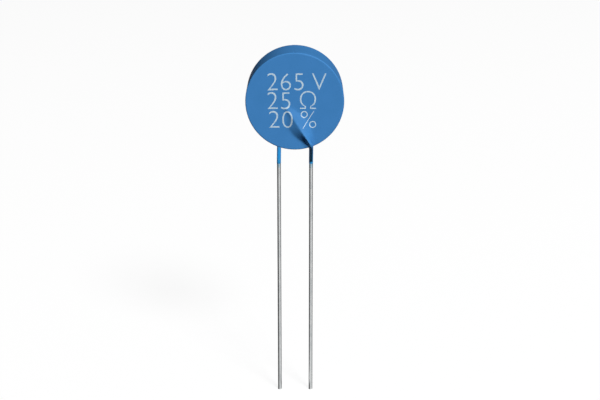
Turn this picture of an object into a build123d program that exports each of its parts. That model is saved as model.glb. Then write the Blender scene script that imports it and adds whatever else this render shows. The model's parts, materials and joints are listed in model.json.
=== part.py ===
from build123d import *
import math
import os

# Coated disc thermistor with two straight radial leads, in millimetres.
# Origin: midway between the leads on the seating plane, where the coating on the leads ends.
# +X runs along the pair of leads, -Y is the marked front face and +Z points up to the disc.
# Each lead rises midway between the faces, bends out to one face and crosses it on the slant.
# The rear lead, joint and coating ridge are the front ones turned half a turn about Z.

# leads
lead_pitch = 5.0  # centre to centre
wire_diameter = 0.6
lead_length = 38.2  # below the seating plane
bend_radius = 0.6  # at the centre line of the wire
crossing_angle = 34.0  # slant of the wire across the face, in degrees from the vertical
crossing_length = 4.1  # from the corner of the upper bend to the end of the wire
crossing_standoff = 0.6  # the wire leans in from this far off its seat at the upper bend

# ceramic and electrodes
disc_diameter = 14.4
disc_thickness = 6.0
disc_lift = 3.4  # from the seating plane to the lowest point of the ceramic
electrode_thickness = 0.05
electrode_margin = 0.5  # bare ceramic round the edge of each electrode

# solder joints
solder_film = 0.05  # between the electrode and the end of the wire
solder_height = 0.5
solder_side = 0.3  # beside the wire, at the electrode
solder_end = 0.35  # past the end of the wire
solder_start = 2.0  # from the corner of the upper bend to the foot of the joint
solder_draft = 25.0  # lean of the sides, in degrees

# coating
coat_thickness = 0.3
coat_edge_bevel = 0.05
sleeve_coat = 0.025  # on the wire below the disc
sleeve_lip = 0.01  # on the wire at the lower end of the sleeve
lower_bend_lift = 0.5  # from the seating plane to the corner of the lower bend
upper_bend_lift = 0.4  # from the coated rim to the corner of the upper bend

# coating ridge over the wire and its joint, by level cuts with their rise above the coated rim
ridge_cover = 0.2  # over the wire
ridge_foot_offset = 0.2  # straight outer foot of the ridge, out from the centre of the lead
ridge_root = 0.04  # depth of the ridge's feet inside the flat coat
throat_height = 0.5  # over the flat coat, where the wire crosses the rim
heel_rise = 0.9
heel_reach = 1.75  # from the crest to the inner foot
belly_rise = 2.6
belly_reach = 1.95
waist_rise = 4.4
waist_reach = 1.6
waist_outer_reach = 2.15  # from the crest to the outer foot
waist_height = 0.45
shoulder_rise = 5.8
shoulder_reach = 0.75
shoulder_outer_reach = 1.5
shoulder_height = 0.17
tip_rise = 7.2
tip_reach = 0.3

# knee of a flank: how far out it lies and how much height is lost there, as shares
steep_knee = (0.3, 0.65)  # inner flank where the wire stands off the disc
even_knee = (0.45, 0.55)  # inner flank over the foot of the joint
hollow_knee = (0.45, 0.7)  # inner flank where the ridge runs out over the joint
outer_knee = (0.45, 0.4)

wire_radius = wire_diameter / 2
half_pitch = lead_pitch / 2
disc_radius = disc_diameter / 2
disc_height = disc_lift + disc_radius
electrode_face = disc_thickness / 2 + electrode_thickness
wire_offset = electrode_face + solder_film + wire_radius
coat_face = electrode_face + coat_thickness
coat_radius = disc_radius + coat_thickness
rim_height = disc_height - math.sqrt(coat_radius**2 - half_pitch**2)
bend_height = rim_height + upper_bend_lift
slant = math.radians(crossing_angle)
lean = math.asin(crossing_standoff / crossing_length)
crossing = Vector(
    -math.sin(slant) * math.cos(lean),
    math.sin(lean),
    math.cos(slant) * math.cos(lean),
)

lead_tip = Vector(half_pitch, 0, -lead_length)
lower_corner = Vector(half_pitch, 0, lower_bend_lift)
upper_corner = Vector(half_pitch, -wire_offset - crossing_standoff, bend_height)
wire_end = upper_corner + crossing * crossing_length

# sintered ceramic disc, its round axis along Y
with BuildPart() as ceramic_disc:
    with BuildSketch(Plane.XZ) as disc_outline:
        with Locations((0, disc_height)):
            Circle(disc_radius)
    extrude(amount=disc_thickness / 2, both=True)

# fired silver electrode on each flat face
with BuildPart() as front_electrode:
    with BuildSketch(Plane.XZ.offset(disc_thickness / 2)) as electrode_outline:
        with Locations((0, disc_height)):
            Circle(disc_radius - electrode_margin)
    extrude(amount=electrode_thickness)

with BuildPart() as rear_electrode:
    add(front_electrode.part, rotation=(0, 0, 180))

# tinned wire: straight leg, slanted run out to the face, then across the electrode
with BuildPart() as front_lead:
    with BuildLine() as wire_path:
        FilletPolyline(lead_tip, lower_corner, upper_corner, wire_end, radius=bend_radius)
    with BuildSketch(Plane(origin=lead_tip, z_dir=(0, 0, 1))) as wire_section:
        Circle(wire_radius)
    sweep()

with BuildPart() as rear_lead:
    add(front_lead.part, rotation=(0, 0, 180))

# solder joint: a drafted mound with the end of the wire let into it
joint_length = crossing_length - solder_start + solder_end
joint_centre = upper_corner + crossing * (solder_start + joint_length / 2)
joint_plane = Plane(
    origin=(joint_centre.X, -electrode_face, joint_centre.Z),
    x_dir=(-math.sin(slant), 0, math.cos(slant)),
    z_dir=(0, -1, 0),
)

with BuildPart() as front_solder_joint:
    with BuildSketch(joint_plane) as joint_outline:
        SlotOverall(joint_length, wire_diameter + 2 * solder_side)
    extrude(amount=solder_height, taper=solder_draft)
    add(front_lead.part, mode=Mode.SUBTRACT)

with BuildPart() as rear_solder_joint:
    add(front_solder_joint.part, rotation=(0, 0, 180))

# sleeve: the coat on the bent part of one lead, thinning out down the top of its straight leg
wire_runs = wire_path.edges().sort_by(Axis.Z)
leg_top = wire_runs[0] @ 1

with BuildPart() as front_sleeve:
    with BuildLine() as sleeve_path:
        add(wire_runs[1:])
    with BuildSketch(Plane(origin=leg_top, z_dir=(0, 0, 1))) as sleeve_section:
        Circle(wire_radius + sleeve_coat)
    sweep()
    with BuildSketch(Plane.XY) as lip_section:
        with Locations((half_pitch, 0)):
            Circle(wire_radius + sleeve_lip)
    with BuildSketch(Plane.XY.offset(leg_top.Z)) as taper_section:
        with Locations((half_pitch, 0)):
            Circle(wire_radius + sleeve_coat)
    loft()


# ridge: level cuts of the coat over the wire, each with its rise above the coated rim,
# the place of its crest, its reach to the inner and the outer foot, its height and inner knee
def crest_at(rise):
    return half_pitch - (rise - upper_bend_lift) * math.tan(slant)


def cover_at(rise):
    standoff = crossing_standoff * (1 - (rise - upper_bend_lift) / (crossing_length * crossing.Z))
    return wire_offset + wire_radius + standoff + ridge_cover - coat_face


ridge_foot = half_pitch + ridge_foot_offset
throat_cut = (0, half_pitch, wire_radius, ridge_foot_offset, throat_height, steep_knee)
heel_cut = (
    heel_rise,
    crest_at(heel_rise),
    heel_reach,
    ridge_foot - crest_at(heel_rise),
    cover_at(heel_rise),
    steep_knee,
)
belly_cut = (
    belly_rise,
    crest_at(belly_rise),
    belly_reach,
    ridge_foot - crest_at(belly_rise),
    cover_at(belly_rise),
    even_knee,
)
waist_cut = (
    waist_rise,
    crest_at(waist_rise),
    waist_reach,
    waist_outer_reach,
    waist_height,
    hollow_knee,
)
shoulder_cut = (
    shoulder_rise,
    crest_at(shoulder_rise),
    shoulder_reach,
    shoulder_outer_reach,
    shoulder_height,
    hollow_knee,
)
tip_cut = (
    tip_rise,
    crest_at(tip_rise),
    tip_reach,
    tip_reach,
    -ridge_root / 2,  # sunk in the coat
    hollow_knee,
)

with BuildPart() as front_ridge:
    for rise, crest_x, inner_reach, outer_reach, height, inner_knee in (
        throat_cut,
        heel_cut,
        belly_cut,
        waist_cut,
        shoulder_cut,
        tip_cut,
    ):
        crest = Vector(crest_x, -coat_face - height)
        inner_foot = Vector(crest_x - inner_reach, ridge_root - coat_face)
        outer_foot = Vector(crest_x + outer_reach, ridge_root - coat_face)
        inner_bend = crest + Vector(-inner_reach * inner_knee[0], height * inner_knee[1])
        outer_bend = crest + Vector(outer_reach * outer_knee[0], height * outer_knee[1])
        with BuildSketch(Plane.XY.offset(rim_height + rise)) as level_cut:
            with BuildLine() as level_outline:
                Spline(inner_foot, inner_bend, crest)
                Spline(crest, outer_bend, outer_foot)
                Line(outer_foot, inner_foot)
            make_face()
    loft()

# dipped coating: one skin round the disc, both joints and the tops of both leads
with BuildPart() as coating:
    with BuildSketch(Plane.XZ) as coat_outline:
        with Locations((0, disc_height)):
            Circle(coat_radius)
    extrude(amount=coat_face, both=True)
    chamfer(coating.edges().filter_by(GeomType.CIRCLE), coat_edge_bevel)
    for turn in (0, 180):
        add(front_ridge.part, rotation=(0, 0, turn))
        add(front_sleeve.part, rotation=(0, 0, turn))
    add(ceramic_disc.part, mode=Mode.SUBTRACT)
    for turn in (0, 180):
        add(front_electrode.part, rotation=(0, 0, turn), mode=Mode.SUBTRACT)
        add(front_solder_joint.part, rotation=(0, 0, turn), mode=Mode.SUBTRACT)
        add(front_lead.part, rotation=(0, 0, turn), mode=Mode.SUBTRACT)

ceramic_disc.part.label = "ceramic_disc"
front_electrode.part.label = "front_electrode"
rear_electrode.part.label = "rear_electrode"
front_lead.part.label = "front_lead"
rear_lead.part.label = "rear_lead"
front_solder_joint.part.label = "front_solder_joint"
rear_solder_joint.part.label = "rear_solder_joint"
coating.part.label = "coating"

os.makedirs("parts", exist_ok=True)
export_step(ceramic_disc.part, "parts/ceramic_disc.step")
export_step(front_electrode.part, "parts/front_electrode.step")
export_step(rear_electrode.part, "parts/rear_electrode.step")
export_step(front_lead.part, "parts/front_lead.step")
export_step(rear_lead.part, "parts/rear_lead.step")
export_step(front_solder_joint.part, "parts/front_solder_joint.step")
export_step(rear_solder_joint.part, "parts/rear_solder_joint.step")
export_step(coating.part, "parts/coating.step")
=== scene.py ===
import json
import math

import bpy
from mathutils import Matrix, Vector
from mathutils.bvhtree import BVHTree


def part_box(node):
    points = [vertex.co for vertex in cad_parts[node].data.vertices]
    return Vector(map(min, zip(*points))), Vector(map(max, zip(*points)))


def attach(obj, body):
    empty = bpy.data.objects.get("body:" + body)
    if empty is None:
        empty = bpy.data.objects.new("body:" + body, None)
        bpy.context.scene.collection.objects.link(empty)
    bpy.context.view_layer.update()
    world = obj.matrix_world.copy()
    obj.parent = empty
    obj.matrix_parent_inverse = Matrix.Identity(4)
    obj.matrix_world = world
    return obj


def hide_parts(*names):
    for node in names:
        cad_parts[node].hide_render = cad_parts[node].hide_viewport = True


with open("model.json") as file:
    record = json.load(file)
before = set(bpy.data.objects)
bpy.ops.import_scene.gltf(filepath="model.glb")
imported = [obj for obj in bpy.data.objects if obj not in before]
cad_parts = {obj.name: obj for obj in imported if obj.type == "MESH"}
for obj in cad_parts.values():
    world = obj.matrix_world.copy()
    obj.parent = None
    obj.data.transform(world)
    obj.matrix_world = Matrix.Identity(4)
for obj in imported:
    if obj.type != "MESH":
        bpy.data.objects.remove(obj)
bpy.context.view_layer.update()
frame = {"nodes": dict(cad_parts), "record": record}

mm = 0.001  # the frame is in metres, the sizes below are in millimetres

# places read from the frame
nodes = frame["nodes"]
mount = frame["record"]["mounts"][0]
halfPitch = mount["dims"]["spacing_x_mm"] * mm / 2
wireRadius = mount["dims"]["stud_r_mm"] * mm
coatLow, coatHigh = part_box("coating")
discLow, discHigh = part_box("ceramic_disc")
discCentre = Vector((0, 0, (discLow.z + discHigh.z) / 2))  # the disc is centred on X and Y
coatRadius = coatHigh.z - discCentre.z
coatRimLow = discCentre.z - coatRadius
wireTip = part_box("front_lead")[0].z


def deselectAll():
    if bpy.context.object and bpy.context.object.mode != "OBJECT":
        bpy.ops.object.mode_set(mode="OBJECT")
    bpy.ops.object.select_all(action="DESELECT")


def pick(piece):
    deselectAll()
    piece.select_set(True)
    bpy.context.view_layer.objects.active = piece


def applyAll(piece):
    pick(piece)
    for modifier in list(piece.modifiers):
        bpy.ops.object.modifier_apply(modifier=modifier.name)


def linear(hexColour):
    parts = [int(hexColour[i:i + 2], 16) / 255 for i in (1, 3, 5)]
    return [p / 12.92 if p <= 0.04045 else ((p + 0.055) / 1.055) ** 2.4 for p in parts] + [1]


def addNode(tree, kind, settings=None, links=None):
    node = tree.nodes.new(kind)
    for name, value in (settings or {}).items():
        if isinstance(value, str) and value.startswith("#"):
            value = linear(value)
        if isinstance(name, int) or name in node.inputs:
            node.inputs[name].default_value = value
        else:
            setattr(node, name, value)
    for name, source in (links or {}).items():
        if isinstance(source, bpy.types.Node):
            source = source.outputs[0]
        tree.links.new(source, node.inputs[name])
    return node


def newMaterial(name, settings):
    material = bpy.data.materials.new(name)
    material.use_nodes = True
    shader = material.node_tree.nodes["Principled BSDF"]
    for socket, value in settings.items():
        shader.inputs[socket].default_value = value
    return material, material.node_tree, shader


def dress(piece, material):
    piece.data.materials.clear()
    piece.data.materials.append(material)


print("stage: camera")
cameraView = {
    "place": (1.32, -206.96, 56.68),  # mm
    "pitch": 16.831,  # degrees down from the horizontal
    "pan": 0.147,
    "lens": 82.61,
    "sensor": 36,
    "clipStart": 5,
}
bpy.ops.object.camera_add(location=[c * mm for c in cameraView["place"]])
camera = bpy.context.object
camera.name = "viewCamera"
tilt = math.radians(90 - cameraView["pitch"])
camera.rotation_euler = (tilt, 0, math.radians(cameraView["pan"]))
camera.data.lens = cameraView["lens"]
camera.data.sensor_width = cameraView["sensor"]
camera.data.clip_start = cameraView["clipStart"] * mm
bpy.context.scene.camera = camera

print("stage: lacquer skin")
skinShape = {
    "grid": 0.108,  # mm between the points of the skin, half of it on the ridges and sleeves
    "weld": 0.0005,  # mm
    "contact": 0.004,  # mm, what lies this near an inner piece is the inside of the skin
    "rimSlack": 0.03,  # mm, points this near the rim are laid on a true circle
    "rimInset": 0.002,  # mm, which keeps that circle inside the rim's facets
    "standOff": 0.02,  # mm, what stands this far off the plain disc is a ridge or a sleeve
    "softening": 0.5,
    "softPasses": 60,
    "edgeSoftness": 0.08,  # share of it at the disc's edges
    "exitSoftness": 0.3,  # share where the wires leave the disc, all of it at mid height
    "edgeWidth": 0.3,  # mm
    "reach": 1.01,  # of the disc's radius or half thickness, to take in its own surface
}
deselectAll()
skin = bpy.data.objects.new("lacquer_skin", nodes["coating"].data.copy())
bpy.context.scene.collection.objects.link(skin)
pick(skin)
bpy.ops.object.mode_set(mode="EDIT")
bpy.ops.mesh.select_all(action="SELECT")
bpy.ops.mesh.remove_doubles(threshold=skinShape["weld"] * mm)
bpy.ops.mesh.select_all(action="DESELECT")
bpy.ops.object.mode_set(mode="OBJECT")
innerTrees = [
    BVHTree.FromObject(piece, bpy.context.evaluated_depsgraph_get())
    for name, piece in nodes.items()
    if name != "coating"
]
for face in skin.data.polygons:
    gaps = [tree.find_nearest(face.center)[3] for tree in innerTrees]
    face.select = min(gaps) < skinShape["contact"] * mm
bpy.ops.object.mode_set(mode="EDIT")
bpy.ops.mesh.select_mode(type="FACE")
bpy.ops.mesh.delete(type="FACE")
bpy.ops.mesh.select_all(action="SELECT")
bpy.ops.mesh.fill_holes(sides=0)
bpy.ops.mesh.normals_make_consistent(inside=False)
bpy.ops.object.mode_set(mode="OBJECT")
aboveRidge = discCentre.z + coatRadius / 2
coatFace = max(-v.co.y for v in skin.data.vertices if v.co.z > aboveRidge)
print("  outer faces:", len(skin.data.polygons), "front face at mm:", round(coatFace / mm, 3))

skinPattern = skin.copy()
skinPattern.data = skin.data.copy()
bpy.context.scene.collection.objects.link(skinPattern)
remesh = skin.modifiers.new("grid", "REMESH")
remesh.mode = "VOXEL"
remesh.voxel_size = skinShape["grid"] * mm
applyAll(skin)


def spokeOf(place):
    return Vector((place.x, 0, place.z - discCentre.z))


for face in skin.data.polygons:
    offRim = spokeOf(face.center).length - coatRadius
    offFace = abs(face.center.y) - coatFace
    face.select = max(offRim, offFace) > skinShape["standOff"] * mm
pick(skin)
bpy.ops.object.mode_set(mode="EDIT")
bpy.ops.mesh.subdivide(number_cuts=1)
bpy.ops.object.mode_set(mode="OBJECT")
print("  points:", len(skin.data.vertices))
wrap = skin.modifiers.new("wrap", "SHRINKWRAP")
wrap.target = skinPattern
wrap.wrap_method = "NEAREST_SURFACEPOINT"
applyAll(skin)

softGroup = skin.vertex_groups.new(name="soft")
for point in skin.data.vertices:
    spoke = spokeOf(point.co)
    if abs(spoke.length - coatRadius) < skinShape["rimSlack"] * mm:
        rimRadius = coatRadius - skinShape["rimInset"] * mm
        point.co += spoke.normalized() * (rimRadius - spoke.length)
    climb = min(max((point.co.z - coatRimLow) / (discCentre.z - coatRimLow), 0), 1)
    softness = skinShape["exitSoftness"] * (1 - climb) + climb
    onDisc = abs(point.co.y) < coatFace * skinShape["reach"]
    if spoke.length > coatRadius - skinShape["edgeWidth"] * mm and onDisc:
        softness = skinShape["edgeSoftness"]
    if spoke.length < coatRadius * skinShape["reach"]:
        softGroup.add([point.index], softness, "REPLACE")
soften = skin.modifiers.new("soften", "SMOOTH")
soften.factor = skinShape["softening"]
soften.iterations = skinShape["softPasses"]
soften.vertex_group = softGroup.name
applyAll(skin)
bpy.ops.object.shade_smooth()
bpy.data.objects.remove(skinPattern)
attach(skin, "root")
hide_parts("coating")

print("stage: print")
ratingPrint = {
    "rows": (  # text, then its left end and base line in mm from the disc's centre
        ("265 V", -4.35, 1.74),
        ("25 Ω", -4.35, -1.17),
        ("20 %", -4.1, -4.08),
    ),
    "textSize": 3.95,  # mm
    "thinning": -0.018,  # of the text size, off each side of a stroke
    "spacing": 1.02,
    "wordGap": 0.7,
    "curveSteps": 6,
    "cornerMerge": 0.072,  # mm, joins corner points that the thinning pushed past each other
    "cuts": 7,
    "start": 1,  # mm in front of the part, from where the print is laid on the skin
    "film": 0.015,  # mm of ink above the skin
    "bedding": 0.005,  # mm of it below
    "crispEdge": 30,  # degrees, past which the edge of the film stays sharp
}
printRows = []
for words, left, base in ratingPrint["rows"]:
    deselectAll()
    bpy.ops.object.text_add(location=(0, 0, 0))
    row = bpy.context.object
    row.data.body = words
    row.data.resolution_u = ratingPrint["curveSteps"]
    row.data.offset = ratingPrint["thinning"]
    row.data.space_character = ratingPrint["spacing"]
    row.data.space_word = ratingPrint["wordGap"]
    bpy.ops.object.convert(target="MESH")
    row.rotation_euler = (math.radians(90), 0, 0)
    row.scale = [ratingPrint["textSize"] * mm] * 3
    start = coatLow.y - ratingPrint["start"] * mm
    row.location = (left * mm, start, discCentre.z + base * mm)
    bpy.ops.object.transform_apply(location=True, rotation=True, scale=True)
    printRows.append(row)
deselectAll()
for row in printRows:
    row.select_set(True)
bpy.context.view_layer.objects.active = printRows[0]
bpy.ops.object.join()
ink = bpy.context.object
ink.name = "rating_print"
bpy.ops.object.mode_set(mode="EDIT")
bpy.ops.mesh.select_all(action="SELECT")
bpy.ops.mesh.remove_doubles(threshold=ratingPrint["cornerMerge"] * mm)
bpy.ops.mesh.subdivide(number_cuts=ratingPrint["cuts"])
bpy.ops.object.mode_set(mode="OBJECT")
drape = ink.modifiers.new("drape", "SHRINKWRAP")
drape.target = skin
drape.wrap_method = "PROJECT"
drape.use_project_y = True
drape.use_positive_direction = True
drape.use_negative_direction = False
drape.offset = ratingPrint["film"] * mm
thicken = ink.modifiers.new("thicken", "SOLIDIFY")
thicken.thickness = (ratingPrint["film"] + ratingPrint["bedding"]) * mm
thicken.offset = -1
applyAll(ink)
bpy.ops.object.shade_smooth_by_angle(angle=math.radians(ratingPrint["crispEdge"]))
print("  ink faces:", len(ink.data.polygons))
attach(ink, "root")

print("stage: materials")
noiseSpan = (0.3, 0.7)  # most of a noise texture's values lie between these


def fromLead(tree, axes):  # X and Y measured from the axis of the nearer lead
    side = addNode(tree, "ShaderNodeMath", {"operation": "SIGN"}, {0: axes.outputs["X"]})
    leadX = addNode(tree, "ShaderNodeMath", {"operation": "MULTIPLY", 1: halfPitch}, {0: side})
    offset = addNode(tree, "ShaderNodeMath", {"operation": "SUBTRACT"},
        {0: axes.outputs["X"], 1: leadX})
    return addNode(tree, "ShaderNodeCombineXYZ", None, {"X": offset, "Y": axes.outputs["Y"]})


def connect(tree, shader, colour, roughness, normal):
    tree.links.new(colour.outputs[2], shader.inputs["Base Color"])
    tree.links.new(roughness.outputs[0], shader.inputs["Roughness"])
    tree.links.new(normal.outputs[0], shader.inputs["Normal"])


# dipped phenolic lacquer, baked hard: satin blue with faint clouds, specks of filler,
# a slight orange peel and a few nibs; on the sleeves it is thin, so clearer and greener,
# and painted lighter there too, as painted light where the disc shades the rear sleeve
lacquerLook = {
    "blues": ("#3A76AE", "#407DB9"),
    # clearer blue of the thin coat, made lighter still as painted light in the disc's shadow
    "thinBlueWithPaintedLight": "#2C8BC4",
    "thinning": (3.4, 1.6),  # mm above the seating plane, from the full coat to the thin, painted-lighter one
    "cloudSize": 2.4,  # mm
    "speckSize": 0.16,  # real filler is too fine to show, so this is drawn coarser
    "speckSpan": (0.6, 0.75),  # of the noise, from no speck to a full one
    "speckStrength": 0.5,
    "speckBlue": "#2F68A0",
    "peelSize": 0.35,
    "peelDepth": 0.003,
    "nibSpacing": 1.3,
    "nibSize": 0.09,  # of the spacing
    "nibDepth": 0.006,
    "gloss": (0.42, 0.52),  # roughness from the shinier clouds to the duller ones
    "sheen": 0.08,  # well under a lacquer's usual 0.5, set so that the shaded rim stays dark
}
lacquer, tree, shader = newMaterial("bakedPhenolicLacquer",
    {"Specular IOR Level": lacquerLook["sheen"]})
place = addNode(tree, "ShaderNodeTexCoord").outputs["Object"]
axes = addNode(tree, "ShaderNodeSeparateXYZ", None, {0: place})
cloud = addNode(tree, "ShaderNodeTexNoise",
    {"Scale": 1 / (lacquerLook["cloudSize"] * mm), "Detail": 3}, {"Vector": place})
blue = addNode(tree, "ShaderNodeMix",
    {"data_type": "RGBA", 6: lacquerLook["blues"][0], 7: lacquerLook["blues"][1]}, {0: cloud})
# mask of the thin coat on the sleeves, which also carries painted light: lighter below the disc,
# where its shadow falls on the rear sleeve
thinAndLitMask = addNode(tree, "ShaderNodeMapRange",
    {"From Min": lacquerLook["thinning"][0] * mm,
     "From Max": lacquerLook["thinning"][1] * mm},
    {"Value": axes.outputs["Z"]})
coat = addNode(tree, "ShaderNodeMix", {"data_type": "RGBA", 7: lacquerLook["thinBlueWithPaintedLight"]},
    {0: thinAndLitMask, 6: blue.outputs[2]})
grain = addNode(tree, "ShaderNodeTexNoise",
    {"Scale": 1 / (lacquerLook["speckSize"] * mm)}, {"Vector": place})
speck = addNode(tree, "ShaderNodeMapRange",
    {"From Min": lacquerLook["speckSpan"][0], "From Max": lacquerLook["speckSpan"][1],
     "To Max": lacquerLook["speckStrength"]},
    {"Value": grain})
specked = addNode(tree, "ShaderNodeMix", {"data_type": "RGBA", 7: lacquerLook["speckBlue"]},
    {0: speck, 6: coat.outputs[2]})
dullness = addNode(tree, "ShaderNodeMapRange",
    {"From Min": noiseSpan[0], "From Max": noiseSpan[1],
     "To Min": lacquerLook["gloss"][0], "To Max": lacquerLook["gloss"][1]},
    {"Value": cloud})
peel = addNode(tree, "ShaderNodeTexNoise",
    {"Scale": 1 / (lacquerLook["peelSize"] * mm), "Detail": 1}, {"Vector": place})
peeled = addNode(tree, "ShaderNodeBump",
    {"Distance": lacquerLook["peelDepth"] * mm}, {"Height": peel})
cells = addNode(tree, "ShaderNodeTexVoronoi",
    {"Scale": 1 / (lacquerLook["nibSpacing"] * mm)}, {"Vector": place})
nib = addNode(tree, "ShaderNodeMapRange",
    {"From Min": lacquerLook["nibSize"], "From Max": 0}, {"Value": cells})
nibbed = addNode(tree, "ShaderNodeBump", {"Distance": lacquerLook["nibDepth"] * mm},
    {"Height": nib, "Normal": peeled})
connect(tree, shader, specked, dullness, nibbed)
dress(skin, lacquer)

# pad-printed marking ink: dull off-white, thinner in spots where the blue shows through
inkLook = {
    "white": "#B6CAD6",
    "thinSpot": "#93B1CA",
    "spotSize": 0.3,  # mm
    "spotSpan": (0.45, 0.7),  # of the noise, from full ink to thin
    "toothSize": 0.08,  # drawn coarser than the real tooth, which is too fine to show
    "toothDepth": 0.001,
    "gloss": (0.52, 0.64),
    "sheen": 0.3,
}
markingInk, tree, shader = newMaterial("whiteMarkingInk",
    {"Specular IOR Level": inkLook["sheen"]})
place = addNode(tree, "ShaderNodeTexCoord").outputs["Object"]
film = addNode(tree, "ShaderNodeTexNoise",
    {"Scale": 1 / (inkLook["spotSize"] * mm), "Detail": 3, "Roughness": 0.6}, {"Vector": place})
spot = addNode(tree, "ShaderNodeMapRange",
    {"From Min": inkLook["spotSpan"][0], "From Max": inkLook["spotSpan"][1]}, {"Value": film})
inkColour = addNode(tree, "ShaderNodeMix",
    {"data_type": "RGBA", 6: inkLook["white"], 7: inkLook["thinSpot"]}, {0: spot})
dullness = addNode(tree, "ShaderNodeMapRange",
    {"From Min": noiseSpan[0], "From Max": noiseSpan[1],
     "To Min": inkLook["gloss"][0], "To Max": inkLook["gloss"][1]},
    {"Value": film})
tooth = addNode(tree, "ShaderNodeTexNoise",
    {"Scale": 1 / (inkLook["toothSize"] * mm)}, {"Vector": place})
toothed = addNode(tree, "ShaderNodeBump",
    {"Distance": inkLook["toothDepth"] * mm}, {"Height": tooth})
connect(tree, shader, inkColour, dullness, toothed)
dress(ink, markingInk)

# drawn copper wire, hot tinned: grey-white metal with fine draw lines and dull patches, a trace
# of lacquer below the sleeve and the copper core bare on the cut end
wireLook = {
    "tin": "#C9CBCB",
    "dullTin": "#BBBFC0",
    "patchSize": 1.1,  # mm
    "dullSpan": (0.42, 0.7),  # of the noise, from bright tin to dull
    "lineWidth": 0.09,  # real draw lines are too fine to show, so these are drawn coarser
    "lineLength": 6.0,
    "lineDepth": 0.0012,
    "gloss": (0.27, 0.34),
    "glossSpan": (0.35, 0.7),
    "traceBlue": "#9DB9C6",
    "trace": (-0.9, -0.3),  # mm from the seating plane, where the trace starts and is full
    "traceWander": 0.5,  # mm
    "copper": "#B8734F",
    "tinThickness": 0.02,  # mm
    "cutDepth": 0.01,
}
wire, tree, shader = newMaterial("tinnedCopperWire", {"Metallic": 1})
place = addNode(tree, "ShaderNodeTexCoord").outputs["Object"]
axes = addNode(tree, "ShaderNodeSeparateXYZ", None, {0: place})
patch = addNode(tree, "ShaderNodeTexNoise",
    {"Scale": 1 / (wireLook["patchSize"] * mm), "Detail": 3}, {"Vector": place})
dull = addNode(tree, "ShaderNodeMapRange",
    {"From Min": wireLook["dullSpan"][0], "From Max": wireLook["dullSpan"][1]},
    {"Value": patch})
tin = addNode(tree, "ShaderNodeMix",
    {"data_type": "RGBA", 6: wireLook["tin"], 7: wireLook["dullTin"]}, {0: dull})
traceWander = wireLook["traceWander"] * mm
wander = addNode(tree, "ShaderNodeMath",
    {"operation": "MULTIPLY_ADD", 1: traceWander, 2: -traceWander / 2}, {0: patch})
ragged = addNode(tree, "ShaderNodeMath", {"operation": "ADD"},
    {0: axes.outputs["Z"], 1: wander})
trace = addNode(tree, "ShaderNodeMapRange",
    {"From Min": wireLook["trace"][0] * mm, "From Max": wireLook["trace"][1] * mm},
    {"Value": ragged})
traced = addNode(tree, "ShaderNodeMix", {"data_type": "RGBA", 7: wireLook["traceBlue"]},
    {0: trace, 6: tin.outputs[2]})
tinThickness = wireLook["tinThickness"] * mm
coreRadius = wireRadius - tinThickness
radius = addNode(tree, "ShaderNodeVectorMath", {"operation": "LENGTH"},
    {0: fromLead(tree, axes)})
core = addNode(tree, "ShaderNodeMapRange",
    {"From Min": coreRadius, "From Max": coreRadius - tinThickness},
    {"Value": radius.outputs["Value"]})
cut = addNode(tree, "ShaderNodeMapRange",
    {"From Min": wireTip + wireLook["cutDepth"] * mm, "From Max": wireTip},
    {"Value": axes.outputs["Z"]})
bare = addNode(tree, "ShaderNodeMath", {"operation": "MULTIPLY"}, {0: core, 1: cut})
wireColour = addNode(tree, "ShaderNodeMix", {"data_type": "RGBA", 7: wireLook["copper"]},
    {0: bare, 6: traced.outputs[2]})
dullness = addNode(tree, "ShaderNodeMapRange",
    {"From Min": wireLook["glossSpan"][0], "From Max": wireLook["glossSpan"][1],
     "To Min": wireLook["gloss"][0], "To Max": wireLook["gloss"][1]},
    {"Value": patch})
lengthwise = addNode(tree, "ShaderNodeMapping",
    {"Scale": (1, 1, wireLook["lineWidth"] / wireLook["lineLength"])}, {"Vector": place})
lines = addNode(tree, "ShaderNodeTexNoise",
    {"Scale": 1 / (wireLook["lineWidth"] * mm)}, {"Vector": lengthwise})
drawn = addNode(tree, "ShaderNodeBump",
    {"Distance": wireLook["lineDepth"] * mm}, {"Height": lines})
connect(tree, shader, wireColour, dullness, drawn)

# tin-silver solder: bright metal that froze with a frosted grain
solderLook = {
    "bright": "#C4C4C0",
    "frosted": "#A4A49F",
    "frostSize": 0.54,  # mm
    "crystalSize": 0.18,
    "crystalDepth": 0.003,
    "gloss": (0.3, 0.5),
}
solder, tree, shader = newMaterial("tinSilverSolder", {"Metallic": 1})
place = addNode(tree, "ShaderNodeTexCoord").outputs["Object"]
frost = addNode(tree, "ShaderNodeTexNoise",
    {"Scale": 1 / (solderLook["frostSize"] * mm), "Detail": 3}, {"Vector": place})
solderColour = addNode(tree, "ShaderNodeMix",
    {"data_type": "RGBA", 6: solderLook["bright"], 7: solderLook["frosted"]}, {0: frost})
dullness = addNode(tree, "ShaderNodeMapRange",
    {"From Min": noiseSpan[0], "From Max": noiseSpan[1],
     "To Min": solderLook["gloss"][0], "To Max": solderLook["gloss"][1]},
    {"Value": frost})
crystals = addNode(tree, "ShaderNodeTexVoronoi",
    {"Scale": 1 / (solderLook["crystalSize"] * mm)}, {"Vector": place})
frozen = addNode(tree, "ShaderNodeBump",
    {"Distance": solderLook["crystalDepth"] * mm}, {"Height": crystals})
connect(tree, shader, solderColour, dullness, frozen)

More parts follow.
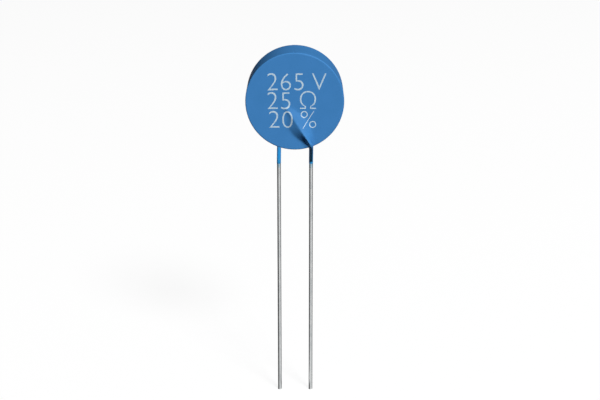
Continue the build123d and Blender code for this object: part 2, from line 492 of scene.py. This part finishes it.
# screened silver paste, fired on: matt pale metal with the weave of the screen and dull blotches
silverLook = {
    "pale": "#D3CFC6",
    "blotch": "#B5AFA3",
    "blotchSize": 1.6,  # mm
    "blotchSpan": (0.4, 0.65),
    "weavePitch": 0.22,  # about twice the pitch of a real screen, so that it shows
    "weaveDepth": 0.002,
    "gloss": (0.55, 0.7),
}
silver, tree, shader = newMaterial("firedSilverPaste", {"Metallic": 1})
place = addNode(tree, "ShaderNodeTexCoord").outputs["Object"]
uneven = addNode(tree, "ShaderNodeTexNoise",
    {"Scale": 1 / (silverLook["blotchSize"] * mm), "Detail": 4, "Roughness": 0.6},
    {"Vector": place})
blotch = addNode(tree, "ShaderNodeMapRange",
    {"From Min": silverLook["blotchSpan"][0], "From Max": silverLook["blotchSpan"][1]},
    {"Value": uneven})
silverColour = addNode(tree, "ShaderNodeMix",
    {"data_type": "RGBA", 6: silverLook["pale"], 7: silverLook["blotch"]}, {0: blotch})
dullness = addNode(tree, "ShaderNodeMapRange",
    {"From Min": noiseSpan[0], "From Max": noiseSpan[1],
     "To Min": silverLook["gloss"][0], "To Max": silverLook["gloss"][1]},
    {"Value": uneven})
threads = {  # a wave's pitch is pi / 10 at a scale of 1
    "bands_direction": "X",
    "Scale": math.pi / (10 * silverLook["weavePitch"] * mm),
}
warp = addNode(tree, "ShaderNodeTexWave", threads, {"Vector": place})
weft = addNode(tree, "ShaderNodeTexWave", {**threads, "bands_direction": "Z"},
    {"Vector": place})
weave = addNode(tree, "ShaderNodeMath", {"operation": "MULTIPLY"}, {0: warp, 1: weft})
woven = addNode(tree, "ShaderNodeBump",
    {"Distance": silverLook["weaveDepth"] * mm}, {"Height": weave})
connect(tree, shader, silverColour, dullness, woven)

# sintered barium titanate: dull dark grey-brown ceramic with a fine open grain
ceramicLook = {
    "bodies": ("#4C4844", "#433F3B"),
    "grainTint": "#615B54",
    "cloudSize": 1.8,  # mm
    "grainSize": 0.07,  # real grains are about 0.01, so these are drawn coarser to show
    "grainSpan": (0.45, 0.65),
    "grainDepth": 0.003,
    "gloss": (0.68, 0.78),
}
ceramic, tree, shader = newMaterial("sinteredTitanate", {})
place = addNode(tree, "ShaderNodeTexCoord").outputs["Object"]
cloud = addNode(tree, "ShaderNodeTexNoise",
    {"Scale": 1 / (ceramicLook["cloudSize"] * mm), "Detail": 3}, {"Vector": place})
body = addNode(tree, "ShaderNodeMix",
    {"data_type": "RGBA", 6: ceramicLook["bodies"][0], 7: ceramicLook["bodies"][1]},
    {0: cloud})
pores = addNode(tree, "ShaderNodeTexNoise",
    {"Scale": 1 / (ceramicLook["grainSize"] * mm)}, {"Vector": place})
grain = addNode(tree, "ShaderNodeMapRange",
    {"From Min": ceramicLook["grainSpan"][0], "From Max": ceramicLook["grainSpan"][1]},
    {"Value": pores})
ceramicColour = addNode(tree, "ShaderNodeMix",
    {"data_type": "RGBA", 7: ceramicLook["grainTint"]}, {0: grain, 6: body.outputs[2]})
dullness = addNode(tree, "ShaderNodeMapRange",
    {"From Min": noiseSpan[0], "From Max": noiseSpan[1],
     "To Min": ceramicLook["gloss"][0], "To Max": ceramicLook["gloss"][1]},
    {"Value": cloud})
grained = addNode(tree, "ShaderNodeBump",
    {"Distance": ceramicLook["grainDepth"] * mm}, {"Height": grain})
connect(tree, shader, ceramicColour, dullness, grained)

for material, names in (
    (wire, ("front_lead", "rear_lead")),
    (solder, ("front_solder_joint", "rear_solder_joint")),
    (silver, ("front_electrode", "rear_electrode")),
    (ceramic, ("ceramic_disc",)),
):
    for name in names:
        nodes[name].material_slots[0].material = material

print("stage: studio")
studio = {
    "floorSize": 3.0,  # m, as are the sizes and distances below
    "lightDistance": 6.0,
    "lightSize": 1.6,
    "fillSize": 0.3,
    "keyFrom": (0.35, -0.662, 0.662),  # direction to the light from the disc
    "keyPower": 145,  # W, casts the shadows
    "openPower": 393,  # W, from the same place, casts none
    "rearFrom": (0.4, 0.82, -0.42),
    "rearPower": 230,
    "lowLeftFrom": (-0.35, 0.71, -0.61),
    "lowRightFrom": (0.35, 0.71, -0.61),
    "lowPower": 50,
    "sideFrom": (-0.6, 0.65, -0.46),
    "sidePower": 55,
    "ambient": 0.02,
    "floorGlow": 0.7,  # with the white below, what the camera sees of the floor
    "floorWhite": 0.3,
    "floorBounce": 0.012,  # what the part gets back from the floor
    "mirrorFront": 1.15,  # painted pool of light: how bright the floor glows in reflections, on the side the light comes from
    "mirrorSide": 0.04,
    "mirrorBack": 0.5,
    "frontSpan": (0.2, 0.85),  # cosine from the key light's heading, from side to front
    "backSpan": (-0.6, -0.9),
    "mirrorEdge": (0.35, 0.8),  # from the leads, where that light fades out
    "white": (1, 1, 1, 1),
}
bpy.ops.mesh.primitive_plane_add(size=studio["floorSize"], location=(0, 0, wireTip))
floor = bpy.context.object
floor.name = "studioFloor"
bpy.ops.object.transform_apply(location=True, rotation=True, scale=True)

floorPaint, tree, shader = newMaterial("paleStudioFloor", {})
tree.nodes.remove(shader)
path = addNode(tree, "ShaderNodeLightPath")
place = addNode(tree, "ShaderNodeTexCoord").outputs["Object"]
axes = addNode(tree, "ShaderNodeSeparateXYZ", None, {0: place})
spoke = fromLead(tree, axes)
heading = addNode(tree, "ShaderNodeVectorMath", {"operation": "NORMALIZE"}, {0: spoke})
reach = addNode(tree, "ShaderNodeVectorMath", {"operation": "LENGTH"}, {0: spoke})
keyHeading = Vector((studio["keyFrom"][0], studio["keyFrom"][1], 0)).normalized()
toKey = addNode(tree, "ShaderNodeVectorMath",
    {"operation": "DOT_PRODUCT", 1: keyHeading}, {0: heading})
front = addNode(tree, "ShaderNodeMapRange",
    {"From Min": studio["frontSpan"][0], "From Max": studio["frontSpan"][1],
     "To Min": studio["mirrorSide"], "To Max": studio["mirrorFront"]},
    {"Value": toKey.outputs["Value"]})
back = addNode(tree, "ShaderNodeMapRange",
    {"From Min": studio["backSpan"][0], "From Max": studio["backSpan"][1],
     "To Max": studio["mirrorBack"]},
    {"Value": toKey.outputs["Value"]})
around = addNode(tree, "ShaderNodeMath", {"operation": "ADD"}, {0: front, 1: back})
near = addNode(tree, "ShaderNodeMapRange",
    {"From Min": studio["mirrorEdge"][0], "From Max": studio["mirrorEdge"][1],
     "To Min": 1, "To Max": studio["mirrorSide"]},
    {"Value": reach.outputs["Value"]})
# painted pool of light on the floor, seen only in reflections: bright on the key light's side
# and near the leads, dim behind and farther out
paintedPoolStrength = addNode(tree, "ShaderNodeMath", {"operation": "MULTIPLY"}, {0: around, 1: near})
seen = addNode(tree, "ShaderNodeMath", {"operation": "MAXIMUM"},
    {0: path.outputs["Is Camera Ray"], 1: path.outputs["Is Transmission Ray"]})
glow = addNode(tree, "ShaderNodeEmission",
    {"Color": studio["white"], "Strength": studio["floorGlow"]})
white = addNode(tree, "ShaderNodeBsdfDiffuse", {"Color": [studio["floorWhite"]] * 3 + [1]})
both = addNode(tree, "ShaderNodeAddShader", None, {0: glow, 1: white})
bounce = addNode(tree, "ShaderNodeBsdfDiffuse", {"Color": [studio["floorBounce"]] * 3 + [1]})
pool = addNode(tree, "ShaderNodeEmission", {"Color": studio["white"]}, {"Strength": paintedPoolStrength})
unseen = addNode(tree, "ShaderNodeMixShader", None,
    {0: path.outputs["Is Glossy Ray"], 1: bounce, 2: pool})
surface = addNode(tree, "ShaderNodeMixShader", None, {0: seen, 1: unseen, 2: both})
tree.links.new(surface.outputs[0], tree.nodes["Material Output"].inputs["Surface"])
dress(floor, floorPaint)


def addLight(name, origin, size, power, castsShadow, shines):
    direction = Vector(origin).normalized()
    place = discCentre + direction * studio["lightDistance"]
    bpy.ops.object.light_add(type="AREA", location=place)
    light = bpy.context.object
    light.name = name
    light.data.shape = "DISK"
    light.data.size = size
    light.data.energy = power
    light.data.use_shadow = castsShadow
    light.visible_glossy = shines
    light.rotation_euler = direction.to_track_quat("Z", "Y").to_euler()


lightSize, fillSize = studio["lightSize"], studio["fillSize"]
addLight("keySoftbox", studio["keyFrom"], lightSize, studio["keyPower"], True, True)
addLight("openFill", studio["keyFrom"], lightSize, studio["openPower"], False, True)
addLight("rearFill", studio["rearFrom"], fillSize, studio["rearPower"], False, False)
addLight("lowLeftFill", studio["lowLeftFrom"], fillSize, studio["lowPower"], False, False)
addLight("lowRightFill", studio["lowRightFrom"], fillSize, studio["lowPower"], False, False)
addLight("sideFill", studio["sideFrom"], fillSize, studio["sidePower"], False, False)

world = bpy.data.worlds.new("studioWorld")
bpy.context.scene.world = world
world.use_nodes = True
tree = world.node_tree
ambient = tree.nodes["Background"]
ambient.inputs["Color"].default_value = studio["white"]
ambient.inputs["Strength"].default_value = studio["ambient"]
backdrop = addNode(tree, "ShaderNodeBackground", {"Color": studio["white"], "Strength": 1})
path = addNode(tree, "ShaderNodeLightPath")
seen = addNode(tree, "ShaderNodeMath", {"operation": "MAXIMUM"},
    {0: path.outputs["Is Camera Ray"], 1: path.outputs["Is Transmission Ray"]})
sky = addNode(tree, "ShaderNodeMixShader", None, {0: seen, 1: ambient, 2: backdrop})
tree.links.new(sky.outputs[0], tree.nodes["World Output"].inputs["Surface"])

bpy.context.scene.view_settings.view_transform = "Standard"
